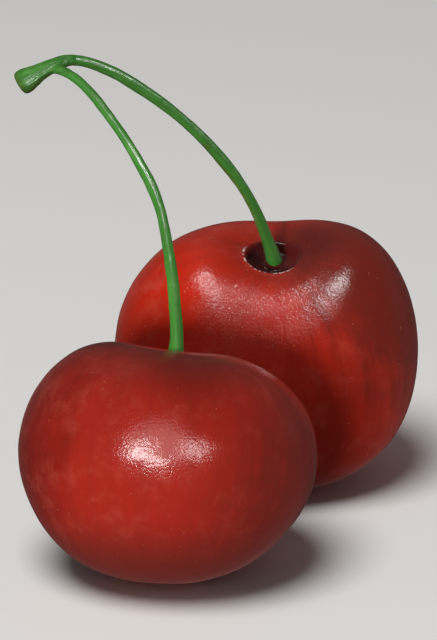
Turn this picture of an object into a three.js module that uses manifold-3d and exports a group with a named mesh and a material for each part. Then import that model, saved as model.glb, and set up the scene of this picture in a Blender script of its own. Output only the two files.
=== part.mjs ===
// Two sweet cherries as picked, joined at the knob where their stems grew from the twig.
// Millimetres, +Z up, seen from -Y. The pair rests on a small flat spot under each fruit,
// and its origin is on that surface, below the middle of the pair.

import * as THREE from 'three';
import { mergeVertices } from 'three/addons/utils/BufferGeometryUtils.js';
import Module from 'manifold-3d';

const wasm = await Module();
wasm.setup();

// Sizes shared by all the pieces

const footGap = 0.6;              // room left between a stem's foot and the floor it grows from
const restDepth = 0.25;           // depth of fruit that the resting flat takes off
const fruitSegments = 48;         // facets round a fruit
const fruitRings = 36;            // facets from a fruit's stem end to its blossom end
const ringCrowding = 0.25;        // how strongly those facets crowd towards the two ends
const halfBlend = 0.6;            // cosine of the angle by which one half's form takes over
const stemSides = 10;
const mergeTolerance = 1e-4;

// Each fruit about its own stem axis, in two halves: the shoulder above its widest ring and the
// base below it. A half's height is measured from that ring, and a power of 2 makes it half an
// ellipse, while a higher one makes it squarer. Its saddle and tilts are rises in millimetres.
// Lean tips the stem end towards -Y and roll tips it towards +X, in degrees.

const frontFruit = {
  name: 'front_cherry',
  radius: 13.65,
  depthRatio: 0.94,
  shoulder: { height: 10.4, power: 2.14, saddle: 0.2, tiltX: -0.5, tiltY: -0.3 },
  base: { height: 11.9, power: 1.95, saddle: -0.2, tiltX: 0.25, tiltY: 0 },
  basin: { depth: 1.2, radius: 5.2, steepness: 2 },
  cavity: { depth: 0.9, radius: 2.4, steepness: 4 },
  dimple: { depth: 0.25, radius: 1.4, steepness: 2 },
  suture: { depth: 0.25, azimuth: 80, halfWidth: 17 },
  lean: -18,
  roll: 3.5,
  place: { x: -4.6, y: 0 },
};

const backFruit = {
  name: 'back_cherry',
  radius: 14.6,
  depthRatio: 0.94,
  shoulder: { height: 12.6, power: 2.2, saddle: 1, tiltX: 0.93, tiltY: 1 },
  base: { height: 12.1, power: 2.6, saddle: 0, tiltX: 0.4, tiltY: 0 },
  basin: { depth: 1.9, radius: 5.5, steepness: 2 },
  cavity: { depth: 0.6, radius: 2.6, steepness: 4 },
  dimple: { depth: 0.25, radius: 1.4, steepness: 2 },
  suture: { depth: 0.35, azimuth: 88, halfWidth: 17 },
  lean: 10.5,
  roll: 4,
  place: { x: 4.6, y: 25.25 },
};

// Stems and knob: the route from the fork down to the fruit, or out to the scar, and the radius
// at even steps along it. A stem's last point is on the floor of its fruit's cavity.

const frontStem = {
  name: 'front_stem',
  route: [
    [-14.15, 12.5, 44.1],
    [-12.6, 11.7, 43.25],
    [-9.8, 9.9, 40.35],
    [-7.35, 8.1, 37],
    [-5.55, 6.6, 33.6],
    [-4.5, 5, 29.2],
    [-3.9, 3.55, 24.1],
    [-3.8, 2.85, 20.8],
  ],
  radii: [0.36, 0.42, 0.44, 0.43, 0.47, 0.52, 0.46, 0.49, 0.54, 0.58, 0.74],
  steps: 22,
};

const backStem = {
  name: 'back_stem',
  route: [
    [-14.5, 13.4, 44.7],
    [-13.4, 13.9, 44.7],
    [-10.7, 15.2, 43.65],
    [-6.9, 17.1, 40.9],
    [-3.15, 18.95, 37.4],
    [0.2, 20.65, 33.35],
    [3.05, 22.1, 28.7],
    [4.7, 23.05, 24.4],
  ],
  radii: [0.46, 0.48, 0.53, 0.55, 0.52, 0.49, 0.52, 0.56, 0.49, 0.49, 0.76],
  steps: 24,
};

const stemKnob = {
  name: 'stem_knob',
  route: [
    [-15, 12.95, 44.4],
    [-15.9, 13, 44.05],
    [-17, 13, 43.4],
    [-18.25, 13, 42.65],
  ],
  radii: [0.62, 0.72, 0.79, 0.96, 1.18, 1.06],
  steps: 8,
};

const colours = {
  skin: new THREE.MeshStandardMaterial({ color: 0x9c1f1c, roughness: 0.3, metalness: 0 }),
  stem: new THREE.MeshStandardMaterial({ color: 0x3f7d2c, roughness: 0.55, metalness: 0 }),
  knob: new THREE.MeshStandardMaterial({ color: 0x4a7a30, roughness: 0.7, metalness: 0 }),
};

// Fruit

function polarRadius(fruit, polar) {
  const upper = THREE.MathUtils.smoothstep(Math.cos(polar), -halfBlend, halfBlend);
  const power = THREE.MathUtils.lerp(fruit.base.power, fruit.shoulder.power, upper);
  const height = THREE.MathUtils.lerp(fruit.base.height, fruit.shoulder.height, upper);
  const across = (Math.sin(polar) / fruit.radius) ** power;
  const along = (Math.abs(Math.cos(polar)) / height) ** power;
  return (across + along) ** (-1 / power);
}

function dent(distance, { depth, radius, steepness }) {
  return depth * Math.exp(-((distance / radius) ** steepness));
}

function sutureDepth({ depth, azimuth, halfWidth }, at) {
  const angle = THREE.MathUtils.radToDeg(at) - azimuth;
  const turned = THREE.MathUtils.euclideanModulo(angle + 180, 360) - 180;
  return depth * Math.exp(-((turned / halfWidth) ** 2));
}

function fruitPoint(fruit, azimuth, polar) {
  const reach = polarRadius(fruit, polar);
  const distance = reach * Math.sin(polar);
  const isShoulder = Math.cos(polar) > 0;
  const half = isShoulder ? fruit.shoulder : fruit.base;

  // nothing at the poles and the widest ring, most halfway between them
  const band = Math.sin(2 * polar) ** 2;
  const saddle = half.saddle * Math.cos(2 * azimuth);
  const tilt = half.tiltX * Math.cos(azimuth) + half.tiltY * Math.sin(azimuth);
  let height = reach * Math.cos(polar) + band * (saddle + tilt);
  if (isShoulder) {
    height -= band * sutureDepth(fruit.suture, azimuth);
    height -= dent(distance, fruit.basin) + dent(distance, fruit.cavity);
  } else {
    height += band * sutureDepth(fruit.suture, azimuth);
    height += dent(distance, fruit.dimple);
  }
  const x = distance * Math.cos(azimuth);
  const y = distance * Math.sin(azimuth) * fruit.depthRatio;
  return new THREE.Vector3(x, y, height);
}

function fruitGeometry(fruit) {
  const geometry = new THREE.SphereGeometry(1, fruitSegments, fruitRings);
  geometry.rotateX(Math.PI / 2);
  const position = geometry.getAttribute('position');
  const onSphere = new THREE.Vector3();
  for (let i = 0; i < position.count; i++) {
    onSphere.fromBufferAttribute(position, i);
    const azimuth = Math.atan2(onSphere.y, onSphere.x);
    const even = Math.acos(THREE.MathUtils.clamp(onSphere.z, -1, 1));
    const polar = even - ringCrowding * Math.sin(2 * even);
    const point = fruitPoint(fruit, azimuth, polar);
    position.setXYZ(i, point.x, point.y, point.z);
  }
  return geometry;
}

function toSolid(geometry) {
  const bare = geometry.clone();
  bare.deleteAttribute('normal');
  bare.deleteAttribute('uv');
  const merged = mergeVertices(bare, mergeTolerance);
  const vertProperties = new Float32Array(merged.getAttribute('position').array);
  const triVerts = new Uint32Array(merged.index.array);
  return new wasm.Manifold(new wasm.Mesh({ numProp: 3, vertProperties, triVerts }));
}

function toGeometry(solid) {
  const { vertProperties, triVerts } = solid.getMesh();
  const geometry = new THREE.BufferGeometry();
  geometry.setAttribute('position', new THREE.BufferAttribute(vertProperties, 3));
  geometry.setIndex(new THREE.BufferAttribute(triVerts, 1));
  geometry.computeVertexNormals();
  return geometry;
}

function lowestPoint(mesh) {
  mesh.updateMatrixWorld();
  return new THREE.Box3().setFromObject(mesh, true).min.z;
}

function makeFruit(fruit) {
  const mesh = new THREE.Mesh(fruitGeometry(fruit), colours.skin.clone());
  mesh.name = fruit.name;
  mesh.rotation.set(THREE.MathUtils.degToRad(fruit.lean), THREE.MathUtils.degToRad(fruit.roll), 0);
  mesh.position.set(fruit.place.x, fruit.place.y, 0);
  mesh.position.z = -lowestPoint(mesh) - restDepth;
  mesh.updateMatrixWorld();

  const side = 3 * fruit.radius;
  const underside = new THREE.BoxGeometry(side, side, side);
  underside.translate(fruit.place.x, fruit.place.y, -side / 2);
  underside.applyMatrix4(mesh.matrixWorld.clone().invert());
  mesh.geometry = toGeometry(toSolid(mesh.geometry).subtract(toSolid(underside)));
  return mesh;
}

// Stems and knob

function taperedRod({ route, radii, steps }) {
  const path = new THREE.CatmullRomCurve3(route.map((point) => new THREE.Vector3(...point)));
  const taper = new THREE.SplineCurve(radii.map((radius, i) => new THREE.Vector2(i, radius)));
  const profile = [new THREE.Vector2(0, 0)];
  for (let step = 0; step <= steps; step++) {
    profile.push(new THREE.Vector2(taper.getPoint(step / steps).y, step));
  }
  profile.push(new THREE.Vector2(0, steps));

  const geometry = new THREE.LatheGeometry(profile, stemSides);
  const frames = path.computeFrenetFrames(steps);
  const position = geometry.getAttribute('position');
  for (let i = 0; i < position.count; i++) {
    const step = Math.round(position.getY(i));
    const point = path.getPointAt(step / steps);
    point.addScaledVector(frames.binormals[step], position.getX(i));
    point.addScaledVector(frames.normals[step], position.getZ(i));
    position.setXYZ(i, point.x, point.y, point.z);
  }
  return geometry;
}

function footPoint(fruitMesh, fruit) {
  const floor = fruitPoint(fruit, 0, 0);
  floor.z += footGap;
  return floor.applyMatrix4(fruitMesh.matrixWorld).toArray();
}

function makeRod(rod, material) {
  const mesh = new THREE.Mesh(taperedRod(rod), material.clone());
  mesh.name = rod.name;
  return mesh;
}

function makeStem(stem, fruitMesh, fruit) {
  const route = [...stem.route, footPoint(fruitMesh, fruit)];
  return makeRod({ ...stem, route }, colours.stem);
}

const frontCherry = makeFruit(frontFruit);
const backCherry = makeFruit(backFruit);

const pair = new THREE.Group();
pair.add(frontCherry);
pair.add(backCherry);
pair.add(makeStem(frontStem, frontCherry, frontFruit));
pair.add(makeStem(backStem, backCherry, backFruit));
pair.add(makeRod(stemKnob, colours.knob));

const middle = new THREE.Box3().setFromObject(pair, true).getCenter(new THREE.Vector3());
pair.position.set(-middle.x, -middle.y, 0);

export default pair;
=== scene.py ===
from math import cos, hypot, pi, radians, sin

import bpy
from mathutils import Euler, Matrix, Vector


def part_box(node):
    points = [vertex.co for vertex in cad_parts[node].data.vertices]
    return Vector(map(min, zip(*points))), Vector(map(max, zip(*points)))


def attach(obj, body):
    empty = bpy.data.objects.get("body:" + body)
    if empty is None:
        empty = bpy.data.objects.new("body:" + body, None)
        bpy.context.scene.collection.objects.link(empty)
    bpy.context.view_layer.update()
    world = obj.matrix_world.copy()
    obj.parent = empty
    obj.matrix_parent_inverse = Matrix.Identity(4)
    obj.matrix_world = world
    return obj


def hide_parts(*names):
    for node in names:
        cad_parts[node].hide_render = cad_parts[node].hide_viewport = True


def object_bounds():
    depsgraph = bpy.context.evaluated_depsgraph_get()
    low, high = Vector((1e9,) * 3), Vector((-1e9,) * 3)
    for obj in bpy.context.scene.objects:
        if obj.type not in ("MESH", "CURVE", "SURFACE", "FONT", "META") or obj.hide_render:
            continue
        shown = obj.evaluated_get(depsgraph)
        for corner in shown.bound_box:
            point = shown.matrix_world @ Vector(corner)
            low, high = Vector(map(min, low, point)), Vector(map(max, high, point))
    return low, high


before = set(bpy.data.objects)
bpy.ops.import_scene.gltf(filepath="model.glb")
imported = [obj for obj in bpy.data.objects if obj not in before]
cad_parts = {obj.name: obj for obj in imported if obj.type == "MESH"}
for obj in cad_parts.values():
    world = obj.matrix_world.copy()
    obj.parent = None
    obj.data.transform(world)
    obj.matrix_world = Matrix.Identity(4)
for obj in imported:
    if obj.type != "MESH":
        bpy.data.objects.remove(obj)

mm = 0.001
cadBox = [list(corner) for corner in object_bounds()]


# small helpers for working on one object at a time

def pickOnly(*pieces):
    bpy.ops.object.select_all(action="DESELECT")
    for piece in pieces:
        piece.select_set(True)
    bpy.context.view_layer.objects.active = pieces[0]


def selectVerts(piece, isWanted):
    bpy.ops.object.mode_set(mode="EDIT")
    bpy.ops.mesh.select_mode(type="VERT")
    bpy.ops.mesh.select_all(action="DESELECT")
    bpy.ops.object.mode_set(mode="OBJECT")
    for vert in piece.data.vertices:
        vert.select = isWanted(vert.co)
    bpy.ops.object.mode_set(mode="EDIT")


def applyModifier(piece, kind, **settings):
    modifier = piece.modifiers.new(kind.title(), kind)
    for key, value in settings.items():
        setattr(modifier, key, value)
    bpy.ops.object.modifier_apply(modifier=modifier.name)


def cloudTexture(name, size, depth):
    texture = bpy.data.textures.new(name, "CLOUDS")
    texture.noise_scale = size
    texture.noise_depth = depth
    return texture


def placeInFrame(piece, slot, *nodes):
    pickOnly(piece)
    bpy.ops.object.transform_apply(location=True, rotation=True, scale=True)
    bpy.ops.object.shade_smooth()
    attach(piece, "root")
    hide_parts(*nodes)


# fruit: a ball of clean quads drawn in onto the frame's solid, then finer work at its two ends

frontFruit = {
    "name": "front_fruit", "node": "front_cherry", "slot": "front_skin",
    "centreHeight": 11.54 * mm, "lean": -18, "roll": 3.5,
    "lipRadius": 2.5 * mm, "lipShift": (0, 0), "lipDrop": 0.35 * mm,
}
backFruit = {
    "name": "back_fruit", "node": "back_cherry", "slot": "back_skin",
    "centreHeight": 12.2 * mm, "lean": 10.5, "roll": 4,
    "lipRadius": 2.8 * mm, "lipShift": (-0.2 * mm, -0.35 * mm), "lipDrop": 0.5 * mm,
}
fruitFinish = {
    "segments": 56, "rings": 40, "startRadius": 18 * mm, "skinLift": 0.05 * mm, "levels": 2,
    "waveHeight": 0.14 * mm, "waveSize": 7 * mm, "waveDepth": 1,
    "endReach": 3.9 * mm, "endCuts": 1, "footRadius": 1.1 * mm,
    "lipWidth": 0.45 * mm, "beadHeight": 0.12 * mm, "beadGrip": 0.15,
    "scarRadius": 0.45 * mm, "scarHeight": 0.12 * mm, "scarGrip": 0.4,
    "restHeight": 0.004 * mm,
}


def fruitFrame(look):
    low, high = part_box(look["node"])
    middle = (low + high) / 2
    centre = Vector((middle.x, middle.y, look["centreHeight"]))
    turn = Euler((radians(look["lean"]), radians(look["roll"]), 0), "ZYX").to_matrix()
    return centre, turn


def growFruit(look):
    centre, turn = fruitFrame(look)
    stemAxis = turn @ Vector((0, 0, 1))
    finish = fruitFinish

    def fromAxis(point):
        offset = point - centre
        height = offset.dot(stemAxis)
        return (offset - stemAxis * height).length, height

    def fromLip(point):
        offset = turn.inverted() @ (point - centre)
        shift = look["lipShift"]
        return hypot(offset.x - shift[0], offset.y - shift[1])

    def pushEnd(isWanted, push, softness):
        selectVerts(fruit, isWanted)
        bpy.ops.transform.translate(
            value=stemAxis * push, use_proportional_edit=True,
            proportional_edit_falloff="SMOOTH", proportional_size=softness)
        bpy.ops.object.mode_set(mode="OBJECT")

    bpy.ops.object.select_all(action="DESELECT")
    bpy.ops.mesh.primitive_uv_sphere_add(
        segments=finish["segments"], ring_count=finish["rings"], radius=finish["startRadius"],
        location=centre, rotation=turn.to_euler("XYZ"))
    fruit = bpy.context.object
    fruit.name = look["name"]
    bpy.ops.object.transform_apply(location=True, rotation=True, scale=True)
    applyModifier(fruit, "SHRINKWRAP", target=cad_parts[look["node"]], wrap_method="PROJECT",
                  use_negative_direction=True, use_positive_direction=False,
                  offset=finish["skinLift"])
    applyModifier(fruit, "SUBSURF", levels=finish["levels"], render_levels=finish["levels"])
    waves = cloudTexture("skin_waves", finish["waveSize"], finish["waveDepth"])
    applyModifier(fruit, "DISPLACE", texture=waves, texture_coords="LOCAL",
                  strength=finish["waveHeight"], mid_level=0.5)

    # finer faces round the stem cavity, whose floor drops inside a thin raised lip
    selectVerts(fruit, lambda p: fromAxis(p)[1] > 0 and fromAxis(p)[0] < finish["endReach"])
    bpy.ops.mesh.subdivide(number_cuts=finish["endCuts"], smoothness=1)
    bpy.ops.object.mode_set(mode="OBJECT")
    lip = look["lipRadius"]
    width = finish["lipWidth"]
    pushEnd(lambda p: fromAxis(p)[1] > 0 and abs(fromLip(p) - lip) < finish["beadGrip"] * width,
            finish["beadHeight"], width)
    pushEnd(lambda p: fromAxis(p)[1] > 0 and fromLip(p) < lip - width
            and fromAxis(p)[0] > finish["footRadius"], -look["lipDrop"], width)

    # the dry dot at the blossom end
    scar = finish["scarRadius"]
    pushEnd(lambda p: fromAxis(p)[1] < 0 and fromAxis(p)[0] < finish["scarGrip"] * scar,
            -finish["scarHeight"], scar)

    # nothing below the surface that it rests on
    selectVerts(fruit, lambda p: p.z < finish["restHeight"])
    bpy.ops.transform.resize(value=(1, 1, 0), center_override=(0, 0, 0))
    bpy.ops.object.mode_set(mode="OBJECT")
    placeInFrame(fruit, look["slot"], look["node"])
    print("fruit", look["name"], len(fruit.data.polygons))
    return fruit


# stalks and the knob that they share: each is extruded straight along X with its swellings and
# faint ribs, then bent along its route by a curve

# routes and radii are in mm, and routes are measured from below the middle of the front fruit
frontStalk = {
    "name": "front_stalk", "node": "front_stem",
    "route": [(-9.75, 12.6, 44.2), (-8, 11.7, 43.25), (-5.2, 9.9, 40.35), (-2.75, 8.1, 37),
              (-0.95, 6.6, 33.6), (0.1, 5, 29.2), (0.7, 3.55, 24.1), (0.8, 2.85, 20.8)],
    "radii": [0.4, 0.43, 0.44, 0.43, 0.47, 0.52, 0.46, 0.49, 0.54, 0.56, 0.6, 0.78],
    "footShift": (0, 0, 0),
}
backStalk = {
    "name": "back_stalk", "node": "back_stem",
    "route": [(-10.2, 13.2, 44.65), (-8.8, 13.9, 44.7), (-6.1, 15.2, 43.65), (-2.3, 17.1, 40.9),
              (1.45, 18.95, 37.4), (4.8, 20.65, 33.35), (7.65, 22.1, 28.7), (9.3, 23.05, 24.4)],
    "radii": [0.48, 0.5, 0.53, 0.55, 0.52, 0.49, 0.52, 0.56, 0.49, 0.5, 0.56, 0.8],
    "footShift": (0.2 * mm, 0, 0),
}
knobRod = {
    "name": "knob", "node": "stem_knob",
    "route": [(-8.4, 14.05, 44.68), (-9.5, 13.5, 44.72), (-10.4, 13.1, 44.45),
              (-11.3, 13, 44.05), (-12.4, 13, 43.4), (-13.65, 13, 42.65)],
    "radii": [0.46, 0.54, 0.6, 0.66, 0.73, 0.82, 1.0, 1.18, 1.08],
}
forkRod = {
    "route": [(-11.1, 12.9, 44.1), (-10.3, 12.75, 44.2), (-9.5, 12.45, 44.05), (-8.5, 12, 43.6)],
    "radii": [0.42, 0.46, 0.45, 0.4],
}
stalkFinish = {
    "sides": 20, "ribEvery": 4, "ribRise": 1.06, "stepLength": 0.3 * mm, "fewestSteps": 4,
    "routeSteps": 24, "levels": 1, "footDepth": 0.25 * mm,
    "bumpHeight": 0.07 * mm, "bumpSize": 1.1 * mm, "bumpDepth": 2,
}


def radiusAt(radii, part):
    place = part * (len(radii) - 1)
    index = min(int(place), len(radii) - 2)
    step = place - index
    ease = step * step * (3 - 2 * step)
    return (radii[index] + (radii[index + 1] - radii[index]) * ease) * mm


def fromFrontFruit(point):
    low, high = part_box(frontFruit["node"])
    return Vector(((low.x + high.x) / 2, (low.y + high.y) / 2, 0)) + Vector(point) * mm


def drawRoute(points):
    bpy.ops.object.select_all(action="DESELECT")
    bpy.ops.curve.primitive_bezier_curve_add(location=(0, 0, 0))
    route = bpy.context.object
    spline = route.data.splines[0]
    spline.bezier_points.add(len(points) - len(spline.bezier_points))
    for knot, point in zip(spline.bezier_points, points):
        knot.co = point
        knot.handle_left_type = knot.handle_right_type = "AUTO"
    route.data.twist_mode = "MINIMUM"
    route.data.resolution_u = stalkFinish["routeSteps"]
    return route, spline.calc_length()


def growRod(name, points, radii, bumpHeight=0.0):
    finish = stalkFinish
    route, length = drawRoute(points)
    steps = max(finish["fewestSteps"], round(length / finish["stepLength"]))
    advance = length / steps
    radius = radiusAt(radii, 0)
    bpy.ops.object.select_all(action="DESELECT")
    bpy.ops.mesh.primitive_circle_add(
        vertices=finish["sides"], radius=radius, fill_type="NGON", rotation=(0, pi / 2, 0))
    rod = bpy.context.object
    rod.name = name
    bpy.ops.object.transform_apply(location=True, rotation=True, scale=True)
    for vert in list(rod.data.vertices)[::finish["ribEvery"]]:
        vert.co *= finish["ribRise"]
    bpy.ops.object.mode_set(mode="EDIT")
    bpy.ops.mesh.select_all(action="SELECT")
    for step in range(1, steps + 1):
        bpy.ops.mesh.extrude_region_move(TRANSFORM_OT_translate={"value": (advance, 0, 0)})
        grown = radiusAt(radii, step / steps)
        bpy.ops.transform.resize(
            value=(1, grown / radius, grown / radius), center_override=(step * advance, 0, 0))
        radius = grown
    bpy.ops.mesh.select_all(action="SELECT")
    bpy.ops.mesh.normals_make_consistent(inside=False)
    bpy.ops.object.mode_set(mode="OBJECT")
    applyModifier(rod, "SUBSURF", levels=finish["levels"], render_levels=finish["levels"])
    if bumpHeight:
        bumps = cloudTexture("stalk_bumps", finish["bumpSize"], finish["bumpDepth"])
        applyModifier(rod, "DISPLACE", texture=bumps, texture_coords="LOCAL",
                      strength=bumpHeight, mid_level=0.5)

    # remembers where each point was on the straight stalk, so that its fibres follow the bend
    straight = rod.data.attributes.new("alongStalk", "FLOAT_VECTOR", "POINT")
    for vert, entry in zip(rod.data.vertices, straight.data):
        entry.vector = vert.co
    applyModifier(rod, "CURVE", object=route, deform_axis="POS_X")
    bpy.data.objects.remove(route)
    return rod


def growStalk(stalk, floor, axis):
    points = [fromFrontFruit(point) for point in stalk["route"]]
    points.append(floor + Vector(stalk["footShift"]) - axis * stalkFinish["footDepth"])
    rod = growRod(stalk["name"], points, stalk["radii"], stalkFinish["bumpHeight"])
    placeInFrame(rod, "stem", stalk["node"])
    print("stalk", stalk["name"], len(rod.data.polygons))
    return rod


knobFinish = {
    "grain": 0.1 * mm, "easing": 6, "easingFactor": 0.5, "levels": 1,
    "scarRadius": 0.75 * mm, "scarDepth": 0.28 * mm, "scarGrip": 0.45, "scarSoftness": 0.6,
    "endDepth": 0.25 * mm,
}


def growKnob():
    finish = knobFinish
    end = fromFrontFruit(knobRod["route"][-1])
    outward = (end - fromFrontFruit(knobRod["route"][-2])).normalized()
    rods = []
    for rod in (knobRod, forkRod):
        points = [fromFrontFruit(point) for point in rod["route"]]
        rods.append(growRod(knobRod["name"], points, rod["radii"]))
    pickOnly(*rods)
    bpy.ops.object.join()
    knob = bpy.context.object
    applyModifier(knob, "REMESH", mode="VOXEL", voxel_size=finish["grain"])
    applyModifier(knob, "SMOOTH", factor=finish["easingFactor"], iterations=finish["easing"])
    applyModifier(knob, "SUBSURF", levels=finish["levels"], render_levels=finish["levels"])

    # the scar where it left the twig: a shallow dish with a raised rim
    scar = finish["scarRadius"]
    selectVerts(knob, lambda p: abs((p - end).dot(outward)) < finish["endDepth"]
                and (p - end).length < finish["scarGrip"] * scar)
    bpy.ops.transform.translate(
        value=-outward * finish["scarDepth"], use_proportional_edit=True,
        proportional_edit_falloff="SMOOTH", proportional_size=finish["scarSoftness"] * scar)
    bpy.ops.object.mode_set(mode="OBJECT")
    placeInFrame(knob, "knob", knobRod["node"])
    print("knob", len(knob.data.polygons))
    return knob, end, outward


# building blocks for the materials

def newMaterial(name):
    material = bpy.data.materials.new(name)
    material.use_nodes = True
    print("material", name)
    return material, material.node_tree, material.node_tree.nodes["Principled BSDF"]


def addNode(tree, kind, inputs=None, **settings):
    node = tree.nodes.new("ShaderNode" + kind)
    for key, value in settings.items():
        setattr(node, key, value)
    for key, value in (inputs or {}).items():
        if isinstance(value, bpy.types.NodeSocket):
            tree.links.new(value, node.inputs[key])
        else:
            node.inputs[key].default_value = value
    return node


def maths(tree, operation, first, second=0.0):
    return addNode(tree, "Math", {0: first, 1: second}, operation=operation).outputs[0]


def scaled(tree, value, amount, base):
    return addNode(tree, "Math", {0: value, 1: amount, 2: base},
                   operation="MULTIPLY_ADD").outputs[0]


def fade(tree, value, start, end):
    ramp = addNode(tree, "MapRange", {"Value": value, "From Min": start, "From Max": end},
                   interpolation_type="SMOOTHSTEP")
    return ramp.outputs[0]


def tint(tree, colour, newColour, mask, amount=1.0):
    strength = maths(tree, "MULTIPLY", mask, amount)
    mix = addNode(tree, "MixRGB", {"Fac": strength, "Color1": colour, "Color2": newColour})
    return mix.outputs[0]


def noise(tree, place, scale, detail):
    return addNode(tree, "TexNoise", {"Vector": place, "Scale": scale,
                                      "Detail": detail}).outputs["Fac"]


def centred(tree, mask):
    return maths(tree, "SUBTRACT", mask, 0.5)    # masks run from 0 to 1


def flattened(tree, place):
    return addNode(tree, "VectorMath", {0: place, 1: (1, 1, 0)}, operation="MULTIPLY").outputs[0]


def measure(tree, operation, first, second=(0, 0, 0)):
    # a length, distance or dot product
    return addNode(tree, "VectorMath", {0: first, 1: second}, operation=operation).outputs["Value"]


def newGroup(name, inputs, outputs):
    group = bpy.data.node_groups.new(name, "ShaderNodeTree")
    for label, kind in inputs:
        group.interface.new_socket(label, in_out="INPUT", socket_type="NodeSocket" + kind)
    for label, kind in outputs:
        group.interface.new_socket(label, in_out="OUTPUT", socket_type="NodeSocket" + kind)
    start = group.nodes.new("NodeGroupInput")
    end = group.nodes.new("NodeGroupOutput")
    return group, start, end


# effects shared by the materials: every Place is in mm about an axis along Z

streakShape = {"detail": 4, "roughness": 0.6, "from": 0.36, "to": 0.66}


def streakGroup():
    # fine streaks that run along the axis
    shape = streakShape
    group, start, end = newGroup(
        "streaks", [("Place", "Vector"), ("Spread", "Float"), ("Stretch", "Float")],
        [("Streaks", "Float")])
    split = addNode(group, "SeparateXYZ", {0: start.outputs["Place"]})
    flat = addNode(group, "CombineXYZ", {"X": split.outputs["X"], "Y": split.outputs["Y"]})
    around = addNode(group, "VectorMath", {0: flat.outputs[0]}, operation="NORMALIZE")
    spread = addNode(group, "VectorMath", {0: around.outputs[0], "Scale": start.outputs["Spread"]},
                     operation="SCALE")
    along = maths(group, "MULTIPLY", split.outputs["Z"], start.outputs["Stretch"])
    lift = addNode(group, "CombineXYZ", {"Z": along})
    place = addNode(group, "VectorMath", {0: spread.outputs[0], 1: lift.outputs[0]},
                    operation="ADD")
    combed = addNode(group, "TexNoise", {"Vector": place.outputs[0], "Scale": 1,
                                         "Detail": shape["detail"],
                                         "Roughness": shape["roughness"]})
    streaks = fade(group, combed.outputs["Fac"], shape["from"], shape["to"])
    group.links.new(streaks, end.inputs["Streaks"])
    return group


fleckShape = {"scatter": 0.9, "core": 0.4, "keptFrom": 0.3, "keptTo": 0.7}


def fleckGroup():
    # scattered round dots, some of them faint
    shape = fleckShape
    group, start, end = newGroup(
        "flecks", [("Place", "Vector"), ("Spacing", "Float"), ("Size", "Float")],
        [("Flecks", "Float")])
    near = maths(group, "DIVIDE", 1.0, start.outputs["Spacing"])
    cells = addNode(group, "TexVoronoi", {"Vector": start.outputs["Place"], "Scale": near,
                                          "Randomness": shape["scatter"]})
    reach = maths(group, "MULTIPLY", cells.outputs["Distance"], start.outputs["Spacing"])
    core = maths(group, "MULTIPLY", start.outputs["Size"], shape["core"])
    dots = fade(group, reach, start.outputs["Size"], core)
    chance = addNode(group, "SeparateColor", {0: cells.outputs["Color"]}).outputs["Red"]
    kept = fade(group, chance, shape["keptFrom"], shape["keptTo"])
    group.links.new(maths(group, "MULTIPLY", dots, kept), end.inputs["Flecks"])
    return group


def patchGroup():
    # soft cloudy patches
    group, start, end = newGroup(
        "patches", [("Place", "Vector"), ("Scale", "Float"), ("Detail", "Float"),
                    ("Roughness", "Float"), ("From", "Float"), ("To", "Float")],
        [("Patches", "Float")])
    clouds = addNode(group, "TexNoise", {
        "Vector": start.outputs["Place"], "Scale": start.outputs["Scale"],
        "Detail": start.outputs["Detail"], "Roughness": start.outputs["Roughness"]})
    patches = fade(group, clouds.outputs["Fac"], start.outputs["From"], start.outputs["To"])
    group.links.new(patches, end.inputs["Patches"])
    return group


mottleShape = {
    "scale": 0.28, "detail": 3, "edgeReach": 0.5, "combReach": 0.07,
    "seamReach": 2.4, "seamShift": 0.2,
}


def mottled(tree, place):
    return noise(tree, place, mottleShape["scale"], mottleShape["detail"])


def shadingSideGroup():
    # where the surface faces Way from the middle of the fruit, with an uneven, combed edge; the
    # skins use it to place painted shade and painted light
    group, start, end = newGroup(
        "side", [("Place", "Vector"), ("Streaks", "Float"), ("Way", "Vector"),
                 ("From", "Float"), ("To", "Float")], [("Side", "Float")])
    place = start.outputs["Place"]
    outward = addNode(group, "VectorMath", {0: place}, operation="NORMALIZE").outputs[0]
    facing = measure(group, "DOT_PRODUCT", outward, start.outputs["Way"])
    uneven = centred(group, mottled(group, place))
    combed = centred(group, start.outputs["Streaks"])
    edge = maths(group, "ADD", maths(group, "MULTIPLY", uneven, mottleShape["edgeReach"]),
                 maths(group, "MULTIPLY", combed, mottleShape["combReach"]))
    side = fade(group, maths(group, "ADD", facing, edge),
                start.outputs["From"], start.outputs["To"])
    group.links.new(side, end.inputs["Side"])
    return group


stemEndShape = {
    "middleBlend": 0.5, "cavityOutside": 0.15, "cavityInside": 0.4,
    "hollowFrom": 5.5, "hollowTo": 1,
    "glintFrom": 0.13, "glintTo": 0.05, "glintWay": (-0.6, -0.8, 0), "glintStart": 0.5, "glintFull": 1.6,
    "breakScale": 2.6, "breakDetail": 1, "breakFrom": 0.42, "breakTo": 0.56,
}


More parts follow.
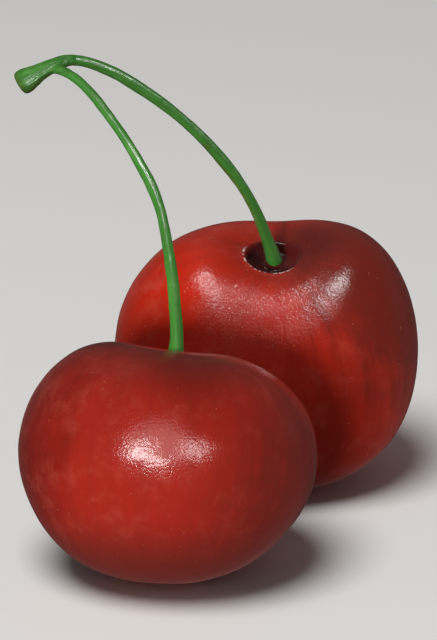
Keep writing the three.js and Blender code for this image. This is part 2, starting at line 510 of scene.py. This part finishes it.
def stemEndGroup():
    # in order, the outputs are painted shade that darkens towards the stem, painted shade inside
    # the lip, a soft shade in the fold below it, and a painted glint: a thin broken line on the
    # lip's near edge
    shape = stemEndShape
    group, start, end = newGroup(
        "stemEnd", [("Place", "Vector"), ("Shoulder Shade From", "Float"), ("Shoulder Shade To", "Float"),
                    ("Lip", "Float"), ("Lip Shift", "Vector"), ("Hollow Place", "Vector")],
        [("Shoulder Shade", "Float"), ("Cavity Shade", "Float"), ("Hollow", "Float"), ("Lip Glint", "Float")])
    place = start.outputs["Place"]
    lip = start.outputs["Lip"]
    height = addNode(group, "SeparateXYZ", {0: place}).outputs["Z"]
    upper = fade(group, height, -shape["middleBlend"], shape["middleBlend"])
    flat = flattened(group, place)
    reach = measure(group, "LENGTH", flat)
    # painted shade that darkens towards the stem
    shoulderShade = fade(group, reach, start.outputs["Shoulder Shade From"], start.outputs["Shoulder Shade To"])
    cavity = fade(group, reach, maths(group, "ADD", lip, shape["cavityOutside"]),
                  maths(group, "SUBTRACT", lip, shape["cavityInside"]))
    beside = measure(group, "DISTANCE", flat, start.outputs["Hollow Place"])
    hollow = fade(group, beside, shape["hollowFrom"], shape["hollowTo"])
    lipReach = measure(group, "DISTANCE", flat, start.outputs["Lip Shift"])
    offLip = maths(group, "ABSOLUTE", maths(group, "SUBTRACT", lipReach, lip))
    nearEdge = measure(group, "DOT_PRODUCT", flat, shape["glintWay"])
    broken = noise(group, place, shape["breakScale"], shape["breakDetail"])
    # painted glint along the lip's near edge
    lipGlint = maths(group, "MULTIPLY", fade(group, offLip, shape["glintFrom"], shape["glintTo"]),
                fade(group, nearEdge, shape["glintStart"], shape["glintFull"]))
    lipGlint = maths(group, "MULTIPLY", lipGlint, fade(group, broken, shape["breakFrom"], shape["breakTo"]))
    for label, mask in (("Shoulder Shade", shoulderShade), ("Cavity Shade", cavity), ("Hollow", hollow),
                        ("Lip Glint", lipGlint)):
        group.links.new(maths(group, "MULTIPLY", mask, upper), end.inputs[label])
    return group


blossomEndShape = {
    "middleBlend": 0.5, "seamFrom": 0.4, "seamTo": 0.1, "farFrom": 0.5, "farTo": 2.5,
    "scarFrom": 0.6, "scarTo": 0.4,
}


def blossomEndGroup():
    # Seam wanders down the far side and Scar is the dry dot underneath
    shape = blossomEndShape
    group, start, end = newGroup(
        "blossomEnd", [("Place", "Vector")], [("Seam", "Float"), ("Scar", "Float")])
    place = start.outputs["Place"]
    split = addNode(group, "SeparateXYZ", {0: place})
    wander = maths(group, "MULTIPLY", mottled(group, place), mottleShape["seamReach"])
    wander = maths(group, "SUBTRACT", wander, mottleShape["seamShift"])
    offSeam = maths(group, "ABSOLUTE", maths(group, "SUBTRACT", split.outputs["X"], wander))
    seam = maths(group, "MULTIPLY", fade(group, offSeam, shape["seamFrom"], shape["seamTo"]),
                 fade(group, split.outputs["Y"], shape["farFrom"], shape["farTo"]))
    group.links.new(seam, end.inputs["Seam"])
    reach = measure(group, "LENGTH", flattened(group, place))
    lower = fade(group, split.outputs["Z"], shape["middleBlend"], -shape["middleBlend"])
    scar = maths(group, "MULTIPLY", fade(group, reach, shape["scarFrom"], shape["scarTo"]), lower)
    group.links.new(scar, end.inputs["Scar"])
    return group


reliefShape = {
    "speckleScale": 4.5, "speckleDetail": 3, "rippleScale": 0.8, "rippleDetail": 2,
    "skin": 1.4, "streak": 0.35, "fleck": 0.1,
}


def reliefGroup():
    # fine speckle for the gloss, and the height of speckle, ripple, streaks and flecks
    shape = reliefShape
    group, start, end = newGroup(
        "relief", [("Place", "Vector"), ("Streaks", "Float"), ("Flecks", "Float")],
        [("Speckle", "Float"), ("Height", "Float")])
    place = start.outputs["Place"]
    speckle = noise(group, place, shape["speckleScale"], shape["speckleDetail"])
    ripple = noise(group, place, shape["rippleScale"], shape["rippleDetail"])
    group.links.new(speckle, end.inputs["Speckle"])
    height = maths(group, "MULTIPLY", maths(group, "ADD", speckle, ripple), shape["skin"])
    for mark, amount in (("Streaks", shape["streak"]), ("Flecks", shape["fleck"])):
        raised = maths(group, "MULTIPLY", start.outputs[mark], amount)
        height = maths(group, "ADD", height, raised)
    group.links.new(height, end.inputs["Height"])
    return group


streaksNode = streakGroup()
flecksNode = fleckGroup()
patchesNode = patchGroup()
shadingSideNode = shadingSideGroup()
stemEndNode = stemEndGroup()
blossomEndNode = blossomEndGroup()
reliefNode = reliefGroup()


def useGroup(tree, group, inputs):
    return addNode(tree, "Group", inputs, node_tree=group).outputs


def placeAbout(tree, source, centre, rotation):
    # coordinates moved to the centre, turned to the axis and counted in mm
    mapping = addNode(tree, "Mapping", {
        "Vector": source, "Location": centre, "Rotation": rotation,
        "Scale": (mm, mm, mm)}, vector_type="TEXTURE")
    return mapping.outputs[0]


def addRelief(tree, shader, height, look):
    bump = addNode(tree, "Bump", {"Height": height, "Strength": look["bumpStrength"],
                                  "Distance": look["bumpDepth"]})
    tree.links.new(bump.outputs["Normal"], shader.inputs["Normal"])


# fruit skin: colours are linear, and sideways directions are about the fruit's own axis

# the dark side, shoulder, base, deep cavity and hollow entries are painted shade; the left-side
# tone is painted shade on the front fruit and painted light on the back one
frontSkin = {
    "red": (0.39, 0.0205, 0.0115, 1), "dark": (0.18, 0.019, 0.013, 1),
    "leftShading": (0.195, 0.0095, 0.006, 1), "deepShade": (0.03, 0.003, 0.003, 1),
    "shadeWay": (0.9, -0.1, -0.22), "shadeFrom": 0.27, "shadeTo": 0.95,
    "leftShadingWay": (-0.95, 0.2, 0.1), "leftShadingFrom": 0.3, "leftShadingTo": 0.9,
    "shoulderShadeFrom": 13, "shoulderShadeTo": 4, "shoulderShadeAmount": 0.95,
    "undersideShadeFrom": -5, "undersideShadeTo": -10, "undersideShadeAmount": 0.9,
    "hollow": (0.1, 0.01, 0.007, 1), "hollowPlace": (1.2, -7.4, 0), "hollowAmount": 0.5,
}
backSkin = {
    "red": (0.43, 0.019, 0.008, 1), "dark": (0.14, 0.014, 0.009, 1),
    "leftShading": (0.46, 0.015, 0.003, 1), "deepShade": (0.02, 0.005, 0.007, 1),
    "shadeWay": (0.78, -0.05, 0.62), "shadeFrom": 0.45, "shadeTo": 0.95,
    "leftShadingWay": (-0.75, -0.2, 0.6), "leftShadingFrom": 0.6, "leftShadingTo": 1.0,
    "shoulderShadeFrom": 7.5, "shoulderShadeTo": 2.5, "shoulderShadeAmount": 0.4,
    "undersideShadeFrom": -5, "undersideShadeTo": -11, "undersideShadeAmount": 0.6,
    "hollow": (0.08, 0.008, 0.006, 1), "hollowPlace": (3, 1.2, 0), "hollowAmount": 0.8,
}
skinFinish = {
    "streakSpread": 9, "streakStretch": 0.07, "streakAmount": 0.16,
    "fleck": (0.55, 0.19, 0.11, 1), "fleckAmount": 0.5, "fleckSpacing": 1.15, "fleckSize": 0.11,
    "bloom": (0.5, 0.07, 0.045, 1), "bloomAmount": 0.4, "bloomScale": 0.4, "bloomDetail": 5,
    "bloomRoughness": 0.65, "bloomFrom": 0.46, "bloomTo": 0.72,
    "cavityShadeAmount": 0.92, "lipGlint": (0.8, 0.66, 0.6, 1), "lipGlintAmount": 0.85,
    "seamAmount": 0.35, "scar": (0.12, 0.055, 0.022, 1),
    "roughness": 0.17, "roughSpread": 0.16, "fleckRough": 0.12, "scarRough": 0.35,
    "bumpStrength": 0.3, "bumpDepth": 0.06 * mm, "specular": 0.22,
    "sheen": 0.11, "sheenRoughness": 0.45, "sheenTint": (1, 0.3, 0.25, 1),
}


def skinMaterial(look, skin):
    finish = skinFinish
    material, tree, shader = newMaterial(look["slot"])
    centre, turn = fruitFrame(look)
    source = addNode(tree, "TexCoord").outputs["Object"]
    place = placeAbout(tree, source, centre, turn.to_euler("XYZ"))
    height = addNode(tree, "SeparateXYZ", {0: place}).outputs["Z"]
    streaks = useGroup(tree, streaksNode, {
        "Place": place, "Spread": finish["streakSpread"],
        "Stretch": finish["streakStretch"]})["Streaks"]
    flecks = useGroup(tree, flecksNode, {
        "Place": place, "Spacing": finish["fleckSpacing"], "Size": finish["fleckSize"]})["Flecks"]
    leftShading = useGroup(tree, shadingSideNode, {
        "Place": place, "Streaks": streaks, "Way": skin["leftShadingWay"],
        "From": skin["leftShadingFrom"], "To": skin["leftShadingTo"]})["Side"]
    shadedSide = useGroup(tree, shadingSideNode, {
        "Place": place, "Streaks": streaks, "Way": skin["shadeWay"],
        "From": skin["shadeFrom"], "To": skin["shadeTo"]})["Side"]
    bloom = useGroup(tree, patchesNode, {
        "Place": place, "Scale": finish["bloomScale"], "Detail": finish["bloomDetail"],
        "Roughness": finish["bloomRoughness"], "From": finish["bloomFrom"],
        "To": finish["bloomTo"]})["Patches"]
    lipShift = [value / mm for value in look["lipShift"]]
    stemEnd = useGroup(tree, stemEndNode, {
        "Place": place, "Shoulder Shade From": skin["shoulderShadeFrom"], "Shoulder Shade To": skin["shoulderShadeTo"],
        "Lip": look["lipRadius"] / mm, "Lip Shift": (*lipShift, 0),
        "Hollow Place": skin["hollowPlace"]})
    blossomEnd = useGroup(tree, blossomEndNode, {"Place": place})
    relief = useGroup(tree, reliefNode, {"Place": place, "Streaks": streaks, "Flecks": flecks})

    # the bloom stays off the painted shade of the dark side, and the marks at the two ends go on
    # last
    # painted shade along the front fruit's left edge, and painted light on the back fruit's upper
    # left
    colour = tint(tree, skin["red"], skin["leftShading"], leftShading)
    # painted shade on the side away from the light
    colour = tint(tree, colour, skin["dark"], shadedSide)
    colour = tint(tree, colour, skin["dark"], streaks, finish["streakAmount"])
    bloom = maths(tree, "MULTIPLY", bloom, maths(tree, "SUBTRACT", 1.0, shadedSide))
    colour = tint(tree, colour, finish["bloom"], bloom, finish["bloomAmount"])
    colour = tint(tree, colour, finish["fleck"], flecks, finish["fleckAmount"])
    # painted shade on the top round the stem
    colour = tint(tree, colour, skin["dark"], stemEnd["Shoulder Shade"], skin["shoulderShadeAmount"])
    # painted shade on the underside
    base = fade(tree, height, skin["undersideShadeFrom"], skin["undersideShadeTo"])
    colour = tint(tree, colour, skin["dark"], base, skin["undersideShadeAmount"])
    # painted shade inside the stem cavity
    colour = tint(tree, colour, skin["deepShade"], stemEnd["Cavity Shade"], finish["cavityShadeAmount"])
    colour = tint(tree, colour, skin["hollow"], stemEnd["Hollow"], skin["hollowAmount"])
    # a painted glint along the lip's near edge
    colour = tint(tree, colour, finish["lipGlint"], stemEnd["Lip Glint"], finish["lipGlintAmount"])
    colour = tint(tree, colour, skin["dark"], blossomEnd["Seam"], finish["seamAmount"])
    colour = tint(tree, colour, finish["scar"], blossomEnd["Scar"])
    tree.links.new(colour, shader.inputs["Base Color"])

    # duller on the flecks and on the scar
    rough = scaled(tree, relief["Speckle"], finish["roughSpread"],
                   finish["roughness"] - finish["roughSpread"] / 2)
    rough = scaled(tree, flecks, finish["fleckRough"], rough)
    rough = scaled(tree, blossomEnd["Scar"], finish["scarRough"], rough)
    tree.links.new(rough, shader.inputs["Roughness"])
    addRelief(tree, shader, relief["Height"], finish)
    shader.inputs["Specular IOR Level"].default_value = finish["specular"]
    shader.inputs["Sheen Weight"].default_value = finish["sheen"]
    shader.inputs["Sheen Roughness"].default_value = finish["sheenRoughness"]
    shader.inputs["Sheen Tint"].default_value = finish["sheenTint"]
    return material


# stalk and knob materials

stalkColours = {
    "green": (0.064, 0.265, 0.038, 1), "pale": (0.13, 0.34, 0.07, 1),
    "brown": (0.085, 0.075, 0.02, 1), "dark": (0.03, 0.1, 0.012, 1),
    "dry": (0.1, 0.07, 0.028, 1),
}
stalkLook = {
    "fibreSpread": 2.6, "fibreStretch": 0.22, "fibreAmount": 0.4,
    "fleckSpacing": 0.55, "fleckSize": 0.07, "fleckAmount": 0.6, "fleckHeight": 0.5,
    "patchScale": 0.35, "patchDetail": 2, "patchRoughness": 0.5,
    "paleFrom": 0.5, "paleTo": 0.68, "paleAmount": 0.45,
    "brownFrom": 0.4, "brownTo": 0.26, "brownAmount": 0.45,
    "roughness": 0.23, "fibreRough": 0.14, "bumpStrength": 0.3, "bumpDepth": 0.06 * mm,
}
knobLook = {
    "fibreSpread": 2.8, "fibreStretch": 0.35, "fibreAmount": 0.6,
    "fleckSpacing": 0.5, "fleckSize": 0.09, "fleckAmount": 0.5, "fleckHeight": 1,
    "patchScale": 0.8, "patchDetail": 3, "patchRoughness": 0.5,
    "paleFrom": 0.5, "paleTo": 0.7, "paleAmount": 0.5,
    "rimFrom": -0.9, "rimTo": -0.1, "rimAmount": 0.5,
    "dryRadiusFrom": 0.8, "dryRadiusTo": 0.55, "dryFrom": -0.6, "dryTo": -0.35, "dryAmount": 0.9,
    "roughness": 0.28, "fibreRough": 0.16, "bumpStrength": 0.5, "bumpDepth": 0.08 * mm,
}


def greenPatches(tree, place, look, start, end):
    return useGroup(tree, patchesNode, {
        "Place": place, "Scale": look["patchScale"], "Detail": look["patchDetail"],
        "Roughness": look["patchRoughness"], "From": start, "To": end})["Patches"]


def greenSurface(tree, shader, place, look):
    # fibres, pale patches and flecks, with the gloss and relief that go with them
    fibres = useGroup(tree, streaksNode, {
        "Place": place, "Spread": look["fibreSpread"], "Stretch": look["fibreStretch"]})["Streaks"]
    flecks = useGroup(tree, flecksNode, {
        "Place": place, "Spacing": look["fleckSpacing"], "Size": look["fleckSize"]})["Flecks"]
    pale = greenPatches(tree, place, look, look["paleFrom"], look["paleTo"])
    colours = stalkColours
    colour = tint(tree, colours["green"], colours["dark"], fibres, look["fibreAmount"])
    colour = tint(tree, colour, colours["pale"], pale, look["paleAmount"])
    colour = tint(tree, colour, colours["pale"], flecks, look["fleckAmount"])
    rough = scaled(tree, fibres, look["fibreRough"], look["roughness"])
    tree.links.new(rough, shader.inputs["Roughness"])
    raised = maths(tree, "MULTIPLY", flecks, look["fleckHeight"])
    addRelief(tree, shader, maths(tree, "ADD", fibres, raised), look)
    return colour


def stalkMaterial():
    look = stalkLook
    material, tree, shader = newMaterial("stem")
    straight = addNode(tree, "Attribute", attribute_name="alongStalk").outputs["Vector"]
    place = placeAbout(tree, straight, (0, 0, 0), (0, pi / 2, 0))
    colour = greenSurface(tree, shader, place, look)
    brown = greenPatches(tree, place, look, look["brownFrom"], look["brownTo"])
    colour = tint(tree, colour, stalkColours["brown"], brown, look["brownAmount"])
    tree.links.new(colour, shader.inputs["Base Color"])
    return material


def knobMaterial(end, outward):
    look = knobLook
    material, tree, shader = newMaterial("knob")
    source = addNode(tree, "TexCoord").outputs["Object"]
    turn = outward.to_track_quat("Z", "Y").to_matrix()
    place = placeAbout(tree, source, end, turn.to_euler("XYZ"))
    height = addNode(tree, "SeparateXYZ", {0: place}).outputs["Z"]
    reach = measure(tree, "LENGTH", flattened(tree, place))
    colour = greenSurface(tree, shader, place, look)

    # browner round the rim of the scar, and dry brown inside it
    rim = fade(tree, height, look["rimFrom"], look["rimTo"])
    colour = tint(tree, colour, stalkColours["brown"], rim, look["rimAmount"])
    inside = maths(tree, "MULTIPLY",
                   fade(tree, reach, look["dryRadiusFrom"], look["dryRadiusTo"]),
                   fade(tree, height, look["dryFrom"], look["dryTo"]))
    colour = tint(tree, colour, stalkColours["dry"], inside, look["dryAmount"])
    tree.links.new(colour, shader.inputs["Base Color"])
    return material


# the pair, put together

def stemFloor(fruit, look):
    centre, turn = fruitFrame(look)
    axis = turn @ Vector((0, 0, 1))
    hit = fruit.ray_cast(centre + axis * fruitFinish["startRadius"], -axis)
    return hit[1], axis    # the second value of a hit is its place


stalkGreen = stalkMaterial()
for look, skin, stalk in ((frontFruit, frontSkin, frontStalk), (backFruit, backSkin, backStalk)):
    fruit = growFruit(look)
    fruit.data.materials.append(skinMaterial(look, skin))
    rod = growStalk(stalk, *stemFloor(fruit, look))
    rod.data.materials.append(stalkGreen)
knob, knobEnd, knobOutward = growKnob()
knob.data.materials.clear()
knob.data.materials.append(knobMaterial(knobEnd, knobOutward))


# studio

studio = {
    "floorSize": 4.0, "floorColour": (0.66, 0.65, 0.63, 1), "floorRoughness": 0.8,
    "cameraElevation": 19, "cameraDistance": 0.4, "lens": 250, "sensor": 36, "clipStart": 0.01,
    "aimX": -0.2 * mm, "aimHeight": 24.35 * mm,
    "worldColour": (1, 1, 1, 1), "worldStrength": 0.15, "mirrorDimming": 0.11,
}

# azimuth 0 is the camera's side and 90 is +X; sizes and distances are in metres; a matt light
# is never mirrored, and a gleam is only mirrored
allPieces = ["front_fruit", "back_fruit", "front_stalk", "back_stalk", "knob"]
lights = [
    {"name": "front_key", "azimuth": -18, "elevation": 7, "distance": 0.8, "size": (0.18, 0.14),
     "power": 5.8, "kind": "matt", "on": ["front_fruit"]},
    {"name": "back_key", "azimuth": -18, "elevation": 9, "distance": 0.8, "size": (0.28, 0.16),
     "power": 7.2, "kind": "matt", "on": ["back_fruit"]},
    {"name": "stalk_key", "azimuth": -28, "elevation": 20, "distance": 0.8, "size": (0.16, 0.16),
     "power": 6.1, "kind": "matt", "on": ["front_stalk", "back_stalk", "knob"]},
    {"name": "back_top", "azimuth": 30, "elevation": 65, "distance": 0.8, "size": (0.2, 0.2),
     "power": 1.1, "kind": "matt", "on": ["back_fruit"]},
    {"name": "floor_light", "azimuth": -30, "elevation": 65, "distance": 0.9, "size": (0.5, 0.5),
     "power": 9, "kind": "matt", "on": ["floor"]},
    {"name": "rear_fill", "azimuth": 195, "elevation": 50, "distance": 0.8, "size": (0.5, 0.5),
     "power": 2.2, "kind": "matt", "on": allPieces},
    {"name": "side_fill", "azimuth": 122, "elevation": 5, "distance": 0.8, "size": (0.3, 0.3),
     "power": 3.2, "kind": "matt", "on": allPieces},
    {"name": "front_gleam_left", "azimuth": -20, "elevation": 22.5, "distance": 0.6,
     "size": (0.13, 0.16), "power": 3.0, "kind": "gleam", "on": ["front_fruit"]},
    {"name": "front_gleam_right", "azimuth": 21, "elevation": 24, "distance": 0.6,
     "size": (0.16, 0.13), "power": 1.3, "kind": "gleam", "on": ["front_fruit"]},
    {"name": "front_gleam_low", "azimuth": -7, "elevation": 12, "distance": 0.6,
     "size": (0.13, 0.08), "power": 2.0, "kind": "gleam", "on": ["front_fruit"]},
    {"name": "front_gleam_wide", "azimuth": -6, "elevation": 30, "distance": 0.6,
     "size": (0.5, 0.5), "power": 2.6, "kind": "gleam", "on": ["front_fruit"]},
    {"name": "back_gleam_left", "azimuth": -82, "elevation": 76.5, "distance": 0.6,
     "size": (0.13, 0.11), "power": 1.5, "kind": "gleam", "on": ["back_fruit"]},
    {"name": "back_gleam_right", "azimuth": 57, "elevation": 77.5, "distance": 0.6,
     "size": (0.13, 0.12), "power": 1.5, "kind": "gleam", "on": ["back_fruit"]},
    {"name": "back_gleam_low", "azimuth": 42, "elevation": 70, "distance": 0.6,
     "size": (0.12, 0.1), "power": 0.3, "kind": "gleam", "on": ["back_fruit"]},
    {"name": "front_stalk_gleam", "azimuth": 22, "elevation": 39, "distance": 0.6,
     "size": (0.09, 0.1), "power": 5.5, "kind": "gleam", "on": ["front_stalk"]},
    {"name": "back_stalk_gleam", "azimuth": 76, "elevation": 25, "distance": 0.6,
     "size": (0.09, 0.08), "power": 3.6, "kind": "gleam", "on": ["back_stalk"]},
    {"name": "knob_gleam", "azimuth": 15, "elevation": 10, "distance": 0.5,
     "size": (0.08, 0.08), "power": 2.2, "kind": "gleam", "on": ["knob"]},
]


def addFloor():
    bpy.ops.object.select_all(action="DESELECT")
    bpy.ops.mesh.primitive_plane_add(size=studio["floorSize"], location=(0, 0, 0))
    floor = bpy.context.object
    floor.name = "floor"
    material, _, shader = newMaterial("floor_paint")
    shader.inputs["Base Color"].default_value = studio["floorColour"]
    shader.inputs["Roughness"].default_value = studio["floorRoughness"]
    floor.data.materials.append(material)
    floor.visible_glossy = False    # a pale floor would grey the skins' reds
    floor.visible_diffuse = False    # and would light the fruit from below
    print("floor", floor.name)


def addCamera():
    low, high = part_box(frontFruit["node"])
    target = Vector((studio["aimX"], (low.y + high.y) / 2, studio["aimHeight"]))
    tip = radians(studio["cameraElevation"])
    back = Vector((0, -cos(tip), sin(tip)))
    cameraData = bpy.data.cameras.new("camera")
    cameraData.lens = studio["lens"]
    cameraData.sensor_width = studio["sensor"]
    cameraData.clip_start = studio["clipStart"]
    camera = bpy.data.objects.new("camera", cameraData)
    camera.location = target + back * studio["cameraDistance"]
    camera.rotation_euler = (pi / 2 - tip, 0, 0)
    bpy.context.collection.objects.link(camera)
    bpy.context.scene.camera = camera
    print("camera", camera.name)


def addSoftbox(light):
    turn = radians(light["azimuth"])
    rise = radians(light["elevation"])
    back = Vector((sin(turn) * cos(rise), -cos(turn) * cos(rise), sin(rise)))
    low, high = Vector(cadBox[0]), Vector(cadBox[1])
    for look in (frontFruit, backFruit):
        if light["on"] == [look["name"]]:
            low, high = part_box(look["node"])
    target = (low + high) / 2
    data = bpy.data.lights.new(light["name"], "AREA")
    data.shape = "ELLIPSE"
    data.size, data.size_y = light["size"]
    data.energy = light["power"]
    box = bpy.data.objects.new(light["name"], data)
    box.location = target + back * light["distance"]
    box.rotation_euler = back.to_track_quat("Z", "Y").to_euler()
    bpy.context.collection.objects.link(box)
    box.visible_glossy = light["kind"] == "gleam"
    box.visible_diffuse = light["kind"] == "matt"
    receivers = bpy.data.collections.new(light["name"])
    for name in light["on"]:
        receivers.objects.link(bpy.data.objects[name])
    box.light_linking.receiver_collection = receivers


addFloor()
addCamera()
for light in lights:
    addSoftbox(light)
print("lights", len(lights))

world = bpy.data.worlds.new("studio")
world.use_nodes = True
background = world.node_tree.nodes["Background"]
background.inputs["Color"].default_value = studio["worldColour"]
mirrored = addNode(world.node_tree, "LightPath").outputs["Is Glossy Ray"]
dimmed = maths(world.node_tree, "MULTIPLY", mirrored, studio["mirrorDimming"])
strength = maths(world.node_tree, "SUBTRACT", studio["worldStrength"], dimmed)
world.node_tree.links.new(strength, background.inputs["Strength"])
bpy.context.scene.world = world
bpy.context.scene.view_settings.view_transform = "Standard"
